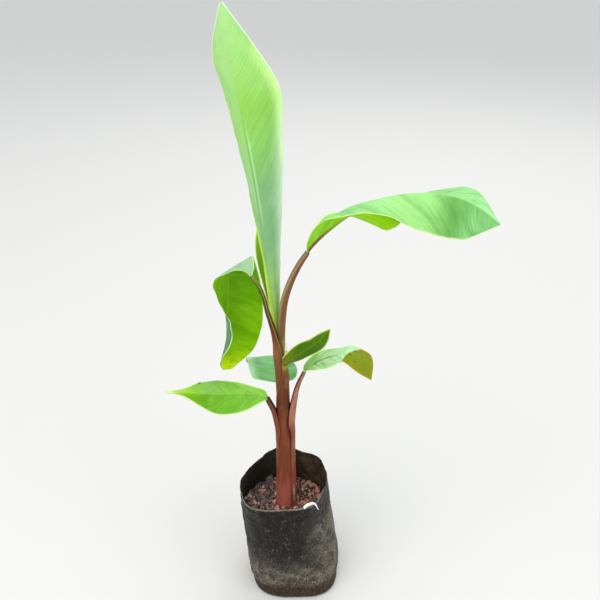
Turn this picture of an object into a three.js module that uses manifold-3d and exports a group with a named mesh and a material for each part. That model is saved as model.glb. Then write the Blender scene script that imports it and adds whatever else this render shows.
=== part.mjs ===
// A young banana plant in a soft black nursery bag.
//
// Millimetres, +Z up. The origin is the centre of the bag's flat underside,
// +X is to the right and -Y towards the viewer. The plant leans a little to the left,
// with the bag's mouth.

import * as THREE from 'three';
import { mergeVertices } from 'three/addons/utils/BufferGeometryUtils.js';
import Module from 'manifold-3d';

const wasm = await Module();
wasm.setup();

// Gap between two pieces that touch on the real plant
const CLEAR = 0.3;

// Nursery bag
const BAG_WALL = 1.2;
const BAG_SIDES = 40;
// height, centre x, centre y, half width, half depth of the filled bag from foot to mouth,
// and the share by which its four corners stand out of the oval
const BAG_ROWS = [
  { z: 0, x: -0.5, y: -1, rx: 52, ry: 53, square: 0.12 },
  { z: 3, x: -1, y: -1, rx: 56, ry: 57, square: 0.12 },
  { z: 10, x: -2, y: -1, rx: 58.5, ry: 58, square: 0.1 },
  { z: 30, x: -4, y: 0, rx: 60.5, ry: 58.5, square: 0.07 },
  { z: 55, x: -6, y: -1, rx: 60.5, ry: 58, square: 0.04 },
  { z: 80, x: -9, y: -2, rx: 59.5, ry: 57, square: 0.02 },
  { z: 104, x: -12, y: -3, rx: 57.5, ry: 56, square: 0.01 },
  { z: 130, x: -14, y: -4, rx: 56.5, ry: 55, square: 0.01 },
];
const BAG_MOUTH = { z: 152, x: -15.5, y: -4, rx: 55.5, ry: 54, square: 0 };
// the mouth's height over its mean, at eight even turns from the right side, by the back
const MOUTH_RISE = [4, 4, 10, 5, -2, -5, -2, -3];
// how far the mouth's folded rim stands out of its oval, at sixteen even turns
const MOUTH_OUT = [0.5, 1.5, 6.5, 0, 1.5, -2.5, -7, -4, 0, 1.5, 5.5, 2.5, -0.5, 0.3, 1.5, -1.5];
// the soft wall bellies in and out by this share of its radius
const WALL_WAVE = 0.012;

// Soil
const SOIL_LEVEL = 114;
const SOIL_LUMP = 2.2;
const SOIL_RINGS = 7;
// the level ring round the foot of the stem, and the soil's gap to the bag at the top
const SEAT_MARGIN = 1;
const SOIL_EDGE_GAP = 3;

// Pseudostem, the trunk of rolled leaf sheaths: height, centre and half sizes of its section
const STEM_SIDES = 20;
const STEM_ROWS = [
  { z: SOIL_LEVEL + CLEAR, x: -12, y: 0, rx: 14.6, ry: 14 },
  { z: 122, x: -12, y: 0, rx: 13.3, ry: 12.8 },
  { z: 150, x: -12.2, y: 0, rx: 12.6, ry: 12.2 },
  { z: 200, x: -12.4, y: 0, rx: 12, ry: 11.6 },
  { z: 228, x: -13.6, y: 0, rx: 11, ry: 11 },
  { z: 245, x: -14.2, y: 0, rx: 9.8, ry: 10 },
  { z: 265, x: -14.8, y: 0, rx: 8.4, ry: 9 },
  { z: 285, x: -15.8, y: 0, rx: 7.9, ry: 8.4 },
  { z: 320, x: -16.6, y: 0, rx: 8.1, ry: 8.3 },
  { z: 340, x: -18.6, y: 0, rx: 7, ry: 7.6 },
  { z: 358, x: -19, y: 0, rx: 7, ry: 7.4 },
];

// Leaves. A leaf's line runs from the stem to its tip, and its blade begins at the point
// numbered bladeFrom. face is the way the upper side looks at the foot of the blade.
// Each half, seen from above with the tip ahead, has its widths, the angle at which it
// rises from the midrib and the angle that it curls through on its way to the margin,
// in degrees at even steps from foot to tip.
const LEAVES = [
  {
    petiole: 'petiole_low_left',
    blade: 'blade_low_left',
    line: [[-19, -3, 232], [-23, -4, 245], [-27.5, -5, 261], [-33.5, -6, 279], [-60, -9, 287],
      [-95, -13, 289], [-126, -17, 294], [-154, -20, 297]],
    bladeFrom: 3,
    radii: [4.4, 4, 3.4],
    face: [0.2, -0.1, 1],
    right: { width: [9, 14, 23, 34, 24, 8, 2], rise: [20, 10, 0, 0, 0], curl: [0, -15, -20, 0] },
    left: { width: [6, 23, 27, 24, 14, 4, 1], rise: [20, -10, -25, -10], curl: [0, -15, -20, 0] },
  },
  {
    petiole: 'petiole_right',
    blade: 'blade_right_bent',
    line: [[-7, -5, 250], [-2, -5, 276], [2, -4, 295], [10, -4, 315], [28, -10, 334],
      [46, -17, 346], [60, -22, 353], [73, -27, 345], [87, -32, 322]],
    bladeFrom: 3,
    radii: [4.4, 4.2, 3.4, 2.6],
    face: [-0.5, 0, 1],
    right: { width: [4, 12, 15, 12, 15, 12, 1], rise: [30, 0, -15, -15, -10, 0], curl: [0, -15, -15, 0] },
    left: { width: [5, 13, 17, 17, 18, 22, 1], rise: [45, 20, -6, -14, -2, 12], curl: [0, 0] },
  },
  {
    petiole: 'petiole_back',
    blade: 'blade_back',
    line: [[-16, 4, 262], [-16, 10, 271], [-18, 17, 278], [-19, 26, 280], [-25, 52, 290],
      [-29, 76, 288], [-31, 96, 270], [-34, 108, 238]],
    bladeFrom: 3,
    radii: [3.6, 3.4, 2.8],
    face: [0, -0.1, 1],
    right: { width: [19, 28, 29, 30, 27, 17, 2], rise: [-5, -20, -15, 0], curl: [0, -5, -10, 0] },
    left: { width: [37, 36, 34, 35, 34, 22, 2], rise: [20, 8, 0, 0], curl: [0, -5, -10, 0] },
  },
  {
    petiole: 'petiole_small_front',
    blade: 'blade_small_front',
    line: [[-10, -6, 290], [-9.5, -9, 302], [-10.5, -12, 317], [-12.5, -14, 331], [-2, -20, 344],
      [11, -28, 359], [25, -37, 375], [38, -46, 397]],
    bladeFrom: 3,
    radii: [3.5, 3.6, 3],
    face: [0.2, 0.9, 0.2],
    right: { width: [7, 10, 11, 9, 7, 1], rise: [40, 25, 15, 10], curl: [0, 0] },
    left: { width: [7, 12, 13, 12, 8, 1], rise: [40, 25, 15, 10], curl: [0, 0] },
  },
  {
    petiole: 'petiole_left_hanging',
    blade: 'blade_left_hanging',
    line: [[-20, -4, 352], [-21, -4, 362], [-27, -2, 382], [-31, 1, 394], [-35, 5, 409],
      [-41, 11, 421], [-50, 18, 430], [-60, 26, 433], [-72, 36, 433], [-79, 47, 411],
      [-81, 53, 374], [-84, 55, 331], [-89, 53, 282]],
    bladeFrom: 6,
    radii: [4.2, 3.8, 3.3, 2.8],
    face: [0.5, 0.2, 1],
    right: { width: [6, 30, 40, 43, 44, 42, 34, 8], rise: [40, 28, 10, 0, 0, 0], curl: [0, 0] },
    left: {
      width: [6, 32, 30, 28, 27, 25, 23, 3],
      rise: [30, -28, -32, -40, -50, -58, -45, -30],
      curl: [0, -10, -25, -50, -70, -60, -35, 0],
    },
  },
  {
    petiole: 'petiole_right_arching',
    blade: 'blade_right_arching',
    line: [[-14, 4, 352], [-14, 4, 361], [-14, 3, 384], [-12, 3, 406], [-7, 2, 427], [2, 1, 449],
      [13, 0, 468], [32, -2, 490], [57, -4, 512], [82, -6, 529], [110, -8, 538],
      [141, -11, 540], [172, -15, 536], [195, -19, 525], [215, -22, 510]],
    bladeFrom: 6,
    radii: [3.6, 4, 4.5, 3.6],
    face: [-0.7, 0, 0.7],
    right: {
      width: [4, 15, 24, 31, 36, 41, 44, 45, 46, 44, 34, 2],
      rise: [60, 68, 78, 82, 52, 14, -20, -36, -44, -48, -48, -35],
      curl: [0, -10, -60, -115, -85, -40, -12, -4, 0, 0, 0, 0],
    },
    left: {
      width: [4, 12, 19, 27, 36, 37, 36, 35, 36, 36, 23, 2],
      rise: [60, 60, 35, -35, -80, -85, -55, -20, -8, 4, 8, 0],
      curl: [0, 0, -10, -10, -10, -10, 0, 0],
    },
  },
];

// The newest leaf stands over the stem, still rolled at its foot
const NEW_LEAF = {
  blade: 'blade_new_leaf',
  line: [[-20, 7, 359], [-28.5, 6, 425], [-37, 6, 497], [-43.5, 7, 548], [-51.5, 9, 599],
    [-64, 12, 669], [-71, 15, 725]],
  bladeFrom: 0,
  face: [0, 1, 0],
  left: {
    width: [8, 36, 62, 70, 53, 47, 47, 28, 2],
    rise: [0, 0],
    curl: [230, 242, 242, 180, 104, 66, 38, 20, 0],
  },
  right: {
    width: [3, 5, 8, 18, 34, 42, 42, 31, 2],
    rise: [0, 30, 58, 66, 66, 64, 61, 48, 50],
    curl: [0, 0, 0, 0, 10, 10, 10, 10, 0],
  },
};
// share of the new leaf's line that is a closed roll, and that roll's line and radii
const NEW_LEAF_ROLL = 0.2;
const ROLL_LINE = [[-20, 9.7, 350], [-20.5, 9.7, 361], [-22.5, 11.4, 380], [-24.8, 15.2, 397],
  [-27.2, 18, 413.6], [-29.4, 18.2, 431.9]];
const ROLL_RADII = [2.7, 3, 4.6, 8, 11.8];

const BLADE_STATIONS = 22;
const BLADE_COLUMNS = 5;
const COLUMN_SPREAD = 1.4;
// a blade's thickness as a share of its length, and its least in millimetres
const BLADE_THICKNESS = 0.0105;
const LEAST_THICKNESS = 1.5;
const LEAST_WIDTH = 0.5;
// how far the midrib stands proud of the underside at the foot
const RIB_DEPTH = 2.4;
const PETIOLE_SIDES = 10;
const PETIOLE_STEPS = 9;
const PETIOLE_SIDE = [0, -1, 0.2];
// steps along a leaf's line, for its length and for carrying its upper side along
const LINE_DIVISIONS = 1200;
const FRAME_SUBSTEPS = 8;
// a turn in radians, and a distance in millimetres, that count as none
const NO_TURN = 1e-4;
const SAME_PLACE = 1e-5;

const material = (color, roughness) =>
  new THREE.MeshStandardMaterial({ color, roughness, metalness: 0 });
const BAG_BLACK = material(0x2b2d2e, 0.5);
const SOIL_BROWN = material(0x5a4640, 0.95);
const STEM_BROWN = material(0x80402c, 0.5);
const PETIOLE_BROWN = material(0x8a5a3c, 0.5);
const LEAF_GREEN = material(0x6fb53a, 0.45);
const PALE_GREEN = material(0x93cf82, 0.5);

const vector = (xyz) => new THREE.Vector3(...xyz);
const smoothLine = (points) => new THREE.CatmullRomCurve3(points.map(vector), false, 'catmullrom', 0.5);

// A smooth value at share s of a list of evenly spaced ones
function along(values, s) {
  const last = values.length - 1;
  const place = THREE.MathUtils.clamp(s, 0, 1) * last;
  const i = Math.min(Math.floor(place), last - 1);
  const t = place - i;
  const before = i > 0 ? values[i - 1] : 2 * values[0] - values[1];
  const after = i + 2 <= last ? values[i + 2] : 2 * values[last] - values[last - 1];
  const leave = (values[i + 1] - before) / 2;
  const arrive = (after - values[i]) / 2;
  const rise = values[i + 1] - values[i];
  const bend = 3 * rise - 2 * leave - arrive;
  return values[i] + t * (leave + t * (bend + t * (leave + arrive - 2 * rise)));
}

// A closed mesh from rings of equally many points, with flat or coned ends
function skin(rings) {
  const count = rings[0].length;
  const positions = rings.flat().flatMap((p) => [p.x, p.y, p.z]);
  const index = [];
  for (let ring = 0; ring < rings.length - 1; ring += 1) {
    for (let i = 0; i < count; i += 1) {
      const next = (i + 1) % count;
      const a = ring * count + i;
      const b = ring * count + next;
      index.push(a, b, a + count, b, b + count, a + count);
    }
  }
  for (const [ring, turned] of [[0, true], [rings.length - 1, false]]) {
    const middle = new THREE.Vector3();
    rings[ring].forEach((p) => middle.addScaledVector(p, 1 / count));
    const hub = positions.length / 3;
    positions.push(middle.x, middle.y, middle.z);
    for (let i = 0; i < count; i += 1) {
      const a = ring * count + i;
      const b = ring * count + ((i + 1) % count);
      index.push(...(turned ? [hub, b, a] : [hub, a, b]));
    }
  }
  return meshFrom(positions, index);
}

function meshFrom(positions, index) {
  const geometry = new THREE.BufferGeometry();
  geometry.setAttribute('position', new THREE.Float32BufferAttribute(positions, 3));
  geometry.setIndex(index);
  return geometry;
}

// A level ring of an ellipse, anticlockwise from +X, with a share added to its radius
function levelRing(row, sides, bulge = () => 0, rise = () => 0) {
  const ring = [];
  for (let i = 0; i < sides; i += 1) {
    const turn = (2 * Math.PI * i) / sides;
    const share = 1 + bulge(turn);
    ring.push(new THREE.Vector3(
      row.x + row.rx * share * Math.cos(turn),
      row.y + row.ry * share * Math.sin(turn),
      row.z + rise(turn),
    ));
  }
  return ring;
}

function solid(geometry) {
  const plain = geometry.clone();
  plain.deleteAttribute('normal');
  plain.deleteAttribute('uv');
  const merged = mergeVertices(plain, SAME_PLACE);
  return new wasm.Manifold(new wasm.Mesh({
    numProp: 3,
    vertProperties: new Float32Array(merged.attributes.position.array),
    triVerts: new Uint32Array(merged.index.array),
  }));
}

function geometryOf(manifold) {
  const mesh = manifold.getMesh();
  return meshFrom(Array.from(mesh.vertProperties), Array.from(mesh.triVerts));
}

// A row of the bag, drawn in by a wall's thickness
const drawnIn = (row, by, z = row.z) => ({ ...row, z, rx: row.rx - by, ry: row.ry - by });
const roundMouth = (values) => (turn) => along([...values, values[0]], turn / (2 * Math.PI));
const mouthRise = roundMouth(MOUTH_RISE);
const mouthOut = roundMouth(MOUTH_OUT);

// How far a row's wall stands out of its oval, as a share: its corners, the soft wall's
// waves above the foot, and the folds of the mouth
const wallOut = (row) => (turn) => {
  const corners = row.square * Math.sin(2 * turn) ** 2;
  if (row.z < BAG_ROWS[2].z) return corners;
  const wave = Math.sin(3 * turn + row.z / 40) + 0.5 * Math.sin(5 * turn - row.z / 25);
  const nearMouth = THREE.MathUtils.smoothstep(row.z, SOIL_LEVEL, BAG_MOUTH.z);
  return corners + WALL_WAVE * wave + (nearMouth * mouthOut(turn)) / row.rx;
};

function nurseryBag() {
  const rings = BAG_ROWS.map((row) => levelRing(row, BAG_SIDES, wallOut(row)));
  rings.push(levelRing(BAG_MOUTH, BAG_SIDES, wallOut(BAG_MOUTH), mouthRise));
  rings.push(levelRing(drawnIn(BAG_MOUTH, BAG_WALL), BAG_SIDES, wallOut(BAG_MOUTH), mouthRise));
  for (const row of [...BAG_ROWS].reverse()) {
    const floor = Math.max(row.z, BAG_WALL);
    rings.push(levelRing(drawnIn(row, BAG_WALL, floor), BAG_SIDES, wallOut(row)));
  }
  return skin(rings);
}

// The soil fills the bag to SOIL_LEVEL, lumpy on top but for the seat of the stem
function pottingSoil() {
  const side = BAG_ROWS.filter((row) => row.z < SOIL_LEVEL);
  const rings = side.map((row) => {
    const z = Math.max(row.z, BAG_WALL + CLEAR);
    return levelRing(drawnIn(row, BAG_WALL + 2 * CLEAR, z), BAG_SIDES, wallOut(row));
  });
  const edge = side[side.length - 1];
  const seat = STEM_ROWS[0];
  for (let ring = 0; ring < SOIL_RINGS; ring += 1) {
    const share = 1 - ring / SOIL_RINGS;
    const row = {
      z: SOIL_LEVEL,
      x: THREE.MathUtils.lerp(seat.x, edge.x, share),
      y: THREE.MathUtils.lerp(seat.y, edge.y, share),
      rx: THREE.MathUtils.lerp(seat.rx + SEAT_MARGIN, edge.rx - BAG_WALL - SOIL_EDGE_GAP, share),
      ry: THREE.MathUtils.lerp(seat.ry + SEAT_MARGIN, edge.ry - BAG_WALL - SOIL_EDGE_GAP, share),
    };
    const clods = (turn) => Math.sin(7 * turn + 2 * ring) * Math.cos(3 * turn - ring);
    rings.push(levelRing(row, BAG_SIDES, () => 0, (turn) => -SOIL_LUMP * share * (1 + clods(turn))));
  }
  rings.push(levelRing({ ...seat, z: SOIL_LEVEL }, BAG_SIDES));
  return skin(rings);
}

function pseudostem(grown = 0) {
  const rows = STEM_ROWS.map((row) => drawnIn(row, -grown));
  rows[0].z -= grown;
  rows[rows.length - 1].z += grown;
  return skin(rows.map((row) => levelRing(row, STEM_SIDES)));
}

// Frames along part of a leaf's line: point, way ahead, upper side and right-hand side
function frames(leaf, from, to, steps) {
  const curve = smoothLine(leaf.line);
  curve.arcLengthDivisions = LINE_DIVISIONS;
  const lengths = curve.getLengths();
  const total = lengths[lengths.length - 1];
  const foot = lengths[Math.round((leaf.bladeFrom / (leaf.line.length - 1)) * LINE_DIVISIONS)] / total;
  const list = [];
  const up = vector(leaf.face);
  const count = steps * FRAME_SUBSTEPS;
  for (let i = 0; i <= count; i += 1) {
    const share = from + ((to - from) * i) / count;
    const u = Math.min(foot + share * (1 - foot), 1);
    const ahead = curve.getTangentAt(u);
    up.addScaledVector(ahead, -up.dot(ahead)).normalize();
    if (i % FRAME_SUBSTEPS === 0) {
      const right = new THREE.Vector3().crossVectors(ahead, up);
      list.push({ share, point: curve.getPointAt(u), up: up.clone(), right });
    }
  }
  return { list, length: total * (1 - foot), curve, foot };
}

// A half blade's section at a share of the way to its margin: place and the way its top looks
function halfPoint(frame, half, side, share) {
  const width = Math.max(along(half.width, frame.share), LEAST_WIDTH);
  const rise = THREE.MathUtils.degToRad(along(half.rise, frame.share));
  const curled = THREE.MathUtils.degToRad(along(half.curl, frame.share));
  const curl = Math.abs(curled) < NO_TURN ? NO_TURN : curled;
  const turn = rise + curl * share;
  const out = (width * (Math.sin(turn) - Math.sin(rise))) / curl;
  const over = (width * (Math.cos(rise) - Math.cos(turn))) / curl;
  const place = frame.point.clone()
    .addScaledVector(frame.right, side * out)
    .addScaledVector(frame.up, over);
  const top = frame.up.clone().multiplyScalar(Math.cos(turn))
    .addScaledVector(frame.right, -side * Math.sin(turn));
  return { place, top };
}

// A blade is a thin solid on the surface of its two halves, with the midrib proud below
function blade(leaf, from = 0) {
  const { list, length } = frames(leaf, from, 1, BLADE_STATIONS);
  const half = Math.max(BLADE_THICKNESS * length, LEAST_THICKNESS) / 2;
  const shares = Array.from({ length: BLADE_COLUMNS + 1 }, (_, i) => (i / BLADE_COLUMNS) ** COLUMN_SPREAD);
  const rings = list.map((frame) => {
    const left = shares.slice(1).reverse().map((share) => halfPoint(frame, leaf.left, -1, share));
    const right = shares.slice(1).map((share) => halfPoint(frame, leaf.right, 1, share));
    const rib = { place: frame.point, top: frame.up };
    const row = [...left, rib, ...right];
    const upper = row.map(({ place, top }) => place.clone().addScaledVector(top, half));
    const lower = row.map(({ place, top }) => {
      const depth = place === frame.point ? half + RIB_DEPTH * (1 - frame.share) : half;
      return place.clone().addScaledVector(top, -depth);
    });
    return [...upper, ...lower.reverse()];
  });
  return skin(rings);
}

// A tapering round limb along a curve from one share of it to another
function limb(curve, from, to, radii, steps = PETIOLE_STEPS) {
  const side = vector(PETIOLE_SIDE);
  const rings = [];
  for (let i = 0; i <= steps; i += 1) {
    const share = from + ((to - from) * i) / steps;
    const ahead = curve.getTangentAt(share);
    side.addScaledVector(ahead, -side.dot(ahead)).normalize();
    const other = new THREE.Vector3().crossVectors(ahead, side);
    const radius = along(radii, i / steps);
    const middle = curve.getPointAt(share);
    rings.push(Array.from({ length: PETIOLE_SIDES }, (_, k) => {
      const turn = (2 * Math.PI * k) / PETIOLE_SIDES;
      return middle.clone()
        .addScaledVector(side, radius * Math.cos(turn))
        .addScaledVector(other, radius * Math.sin(turn));
    }));
  }
  return skin(rings);
}

// A petiole grows out of the pseudostem and ends at the foot of its blade
const stemWithGap = solid(pseudostem(CLEAR));
function petiole(leaf) {
  const { curve, foot } = frames(leaf, 0, 1, 1);
  const end = foot - CLEAR / curve.getLength();
  return geometryOf(solid(limb(curve, 0, end, leaf.radii)).subtract(stemWithGap));
}

function newLeafRoll() {
  const curve = smoothLine(ROLL_LINE);
  return geometryOf(solid(limb(curve, 0, 1, ROLL_RADII)).subtract(stemWithGap));
}

const plant = new THREE.Group();
function add(name, geometry, finish) {
  const mesh = new THREE.Mesh(geometry, finish);
  mesh.name = name;
  plant.add(mesh);
}

add('nursery_bag', nurseryBag(), BAG_BLACK);
add('potting_soil', pottingSoil(), SOIL_BROWN);
add('pseudostem', pseudostem(), STEM_BROWN);
for (const leaf of LEAVES) {
  add(leaf.petiole, petiole(leaf), PETIOLE_BROWN);
  add(leaf.blade, blade(leaf), LEAF_GREEN);
}
add('rolled_foot_new_leaf', newLeafRoll(), PALE_GREEN);
add(NEW_LEAF.blade, blade(NEW_LEAF, NEW_LEAF_ROLL), PALE_GREEN);

export default plant;
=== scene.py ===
# Looks of a young banana plant in a soft black nursery bag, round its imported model.
# Lengths are millimetres in the plant's own frame until a mesh is made, and metres from there on.

import math

import bpy
import numpy as np
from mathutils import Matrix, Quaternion, Vector, noise


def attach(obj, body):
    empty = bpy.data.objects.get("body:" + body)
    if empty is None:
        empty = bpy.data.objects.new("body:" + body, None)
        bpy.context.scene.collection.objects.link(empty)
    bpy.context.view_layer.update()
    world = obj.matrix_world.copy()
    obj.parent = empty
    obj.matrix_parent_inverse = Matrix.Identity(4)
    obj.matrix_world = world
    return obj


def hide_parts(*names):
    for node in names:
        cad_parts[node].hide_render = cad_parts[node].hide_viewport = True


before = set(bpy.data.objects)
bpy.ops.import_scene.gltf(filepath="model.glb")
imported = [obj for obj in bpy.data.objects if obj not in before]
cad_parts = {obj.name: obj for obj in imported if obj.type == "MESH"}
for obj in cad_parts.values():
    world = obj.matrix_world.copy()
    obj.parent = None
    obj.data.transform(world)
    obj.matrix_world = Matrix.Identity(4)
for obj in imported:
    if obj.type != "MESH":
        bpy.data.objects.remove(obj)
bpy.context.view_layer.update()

MM = 0.001

# The photo's camera: its place, how far it looks down, and a lens for a picture as high as wide
CAMERA_PLACE = (0.0055, -0.800, 0.829)
CAMERA_PITCH = 27.7
CAMERA_LENS = 48.0
CAMERA_SENSOR = 36.0
CAMERA_NEAR = 0.01


def add_object(name, data):
    thing = bpy.data.objects.new(name, data)
    bpy.context.scene.collection.objects.link(thing)
    return thing


def make_camera():
    data = bpy.data.cameras.new("camera")
    data.lens = CAMERA_LENS
    data.sensor_width = CAMERA_SENSOR
    data.clip_start = CAMERA_NEAR
    camera = add_object("camera", data)
    camera.location = CAMERA_PLACE
    camera.rotation_euler = (math.radians(90 - CAMERA_PITCH), 0, 0)
    bpy.context.scene.camera = camera


# Colours and node helpers


def shade(text):
    """A linear colour from a six-figure screen colour"""
    parts = [int(text[i : i + 2], 16) / 255 for i in (0, 2, 4)]
    linear = [c / 12.92 if c <= 0.04045 else ((c + 0.055) / 1.055) ** 2.4 for c in parts]
    return (*linear, 1.0)


class Paint:
    """A material whose nodes are added one by one, each call giving back an output socket"""

    def __init__(self, name, specular=0.5):
        self.material = bpy.data.materials.new(name)
        self.material.use_nodes = True
        self.tree = self.material.node_tree
        self.shader = self.tree.nodes["Principled BSDF"]
        self.set("Specular IOR Level", specular)

    def put(self, socket, value):
        if isinstance(value, bpy.types.NodeSocket):
            self.tree.links.new(value, socket)
        else:
            socket.default_value = shade(value) if isinstance(value, str) else value

    def set(self, name, value):
        self.put(self.shader.inputs[name], value)

    def add(self, kind, *values):
        """A new node, with values or sockets for its first inputs"""
        node = self.tree.nodes.new(kind)
        for socket, value in zip(node.inputs, values):
            self.put(socket, value)
        return node

    def fact(self, name):
        node = self.add("ShaderNodeAttribute")
        node.attribute_name = name
        return node.outputs["Fac"]

    def place(self):
        return self.add("ShaderNodeTexCoord").outputs["Object"]

    def split(self, vector):
        return self.add("ShaderNodeSeparateXYZ", vector).outputs

    def join(self, x, y, z):
        return self.add("ShaderNodeCombineXYZ", x, y, z).outputs[0]

    def math(self, operation, a, b=0.0):
        node = self.add("ShaderNodeMath", a, b)
        node.operation = operation
        return node.outputs[0]

    def plus(self, a, b):
        return self.math("ADD", a, b)

    def less(self, a, b):
        return self.math("SUBTRACT", a, b)

    def times(self, first, *others):
        for other in others:
            first = self.math("MULTIPLY", first, other)
        return first

    def noise(self, vector, pace, detail, rough=0.5):
        """Noise at a pace, or at a pace for each axis"""
        if isinstance(pace, tuple):
            stretched = self.add("ShaderNodeVectorMath", vector, pace)
            stretched.operation = "MULTIPLY"
            vector, pace = stretched.outputs[0], 1.0
        node = self.add("ShaderNodeTexNoise", vector)
        for name, number in (("Scale", pace), ("Detail", detail), ("Roughness", rough)):
            node.inputs[name].default_value = number
        return node.outputs[0]

    def map(self, value, low, high, to_low=0.0, to_high=1.0, smooth=True):
        node = self.add("ShaderNodeMapRange", value, low, high, to_low, to_high)
        node.interpolation_type = "SMOOTHSTEP" if smooth else "LINEAR"
        return node.outputs[0]

    def ramp(self, value, tones):
        """Tones along a value, from a text of places and tones, or the text's one tone"""
        if "," not in tones:
            return tones
        stops = [stop.split() for stop in tones.split(",")]
        node = self.add("ShaderNodeValToRGB", value)
        elements = node.color_ramp.elements
        while len(elements) < len(stops):
            elements.new(0.5)
        for element, (place, tone) in zip(elements, stops):
            element.position = float(place)
            element.color = shade(tone)
        return node.outputs[0]

    def mix(self, share, a, b):
        node = self.tree.nodes.new("ShaderNodeMix")
        node.data_type = "RGBA"
        colours = [i for i in node.inputs if i.type == "RGBA"]
        for socket, value in zip([node.inputs["Factor"], *colours], (share, a, b)):
            self.put(socket, value)
        return [o for o in node.outputs if o.type == "RGBA"][0]

    def tint(self, colour, tone, value, low, high, share=1.0):
        """A colour that turns to a tone, up to a share, as a value goes from low to high"""
        return self.mix(self.map(value, low, high, 0.0, share), colour, tone)

    def finish(self, colour, roughness, height, depth):
        """The paint, with its colour, its roughness and its relief"""
        node = self.tree.nodes.new("ShaderNodeBump")
        self.put(node.inputs["Height"], height)
        self.put(node.inputs["Distance"], depth)
        for name, value in (("Base Color", colour), ("Roughness", roughness), ("Normal", node.outputs[0])):
            self.set(name, value)
        return self


# Mesh helpers


def add_piece(name, points, faces, paints, replaces=(), facts=None, picks=None):
    """A piece of the plant from points in millimetres, with each point's facts for its paint,
    and each face's pick among its paints"""
    mesh = bpy.data.meshes.new(name)
    mesh.from_pydata((np.asarray(points) * MM).tolist(), [], faces)
    for paint in paints:
        mesh.materials.append(paint.material)
    if picks is not None:
        mesh.polygons.foreach_set("material_index", np.asarray(picks, np.int32))
    for fact, values in (facts or {}).items():
        layer = mesh.attributes.new(fact, "FLOAT", "POINT")
        layer.data.foreach_set("value", np.asarray(values, np.float32).ravel())
    mesh.shade_smooth()
    piece = add_object(name, mesh)
    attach(piece, "root")
    if replaces:
        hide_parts(*replaces)


def grid_faces(rows, columns, closed=False, start=0, turned=False):
    """Four-sided faces over rows of equally many points, closed round each row if asked"""
    last = columns if closed else columns - 1
    faces = []
    for r in range(rows - 1):
        for c in range(last):
            a = start + r * columns + c
            b = start + r * columns + (c + 1) % columns
            face = (a, b, b + columns, a + columns)
            faces.append(face[::-1] if turned else face)
    return faces


def tube(rings):
    """Points and faces of a skin over rings of equally many points, closed at both ends"""
    rings = np.asarray(rings, float)
    rows, columns = rings.shape[:2]
    points = np.vstack([rings.reshape(-1, 3), rings[0].mean(0), rings[-1].mean(0)])
    foot = rows * columns
    tip = foot + 1
    last = foot - columns
    faces = grid_faces(rows, columns, closed=True)
    for c in range(columns):
        d = (c + 1) % columns
        faces.append((foot, d, c))
        faces.append((tip, last + c, last + d))
    return points, faces


# Lines and smooth values


def smooth(values, s):
    """Values at shares of the way through evenly spaced ones, by the plant's own rule"""
    v = np.asarray(values, float)
    v = np.concatenate([[2 * v[0] - v[1]], v, [2 * v[-1] - v[-2]]])
    spans = len(v) - 3
    x = np.clip(np.asarray(s, float), 0, 1) * spans
    i = np.minimum(x.astype(int), spans - 1)
    t = (x - i).reshape(x.shape + (1,) * (v.ndim - 1))
    leave = (v[i + 2] - v[i]) / 2
    arrive = (v[i + 3] - v[i + 1]) / 2
    rise = v[i + 2] - v[i + 1]
    return v[i + 1] + t * (leave + t * (3 * rise - 2 * leave - arrive + t * (leave + arrive - 2 * rise)))


def unit(vectors):
    return vectors / np.linalg.norm(vectors, axis=-1, keepdims=True)


def ease(x, low, high):
    t = np.clip((x - low) / (high - low), 0, 1)
    return t * t * (3 - 2 * t)


def carry(face, ahead):
    """The way that a face looks, carried along a line by projection"""
    face = np.asarray(face, float)
    up = np.zeros_like(ahead)
    for i, way in enumerate(ahead):
        face = face - (face @ way) * way
        face = face / np.linalg.norm(face)
        up[i] = face
    return up


def even_turns(count):
    return np.linspace(0, 2 * np.pi, count, endpoint=False)


def oval(x, y, rx, ry, z, turn):
    """Points at turns round an oval, level or with a height for each"""
    return np.stack([x + rx * np.cos(turn), y + ry * np.sin(turn), np.full_like(turn, z)], -1)


# Leaves, by the same rule as the solids: a line from stem to tip, the way that the upper side
# looks where the blade begins, and for each half its widths, rise and curl at even steps.
# Then the looks: side veins' forward lean, the waves of the margin, and the midrib's radius.

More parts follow.
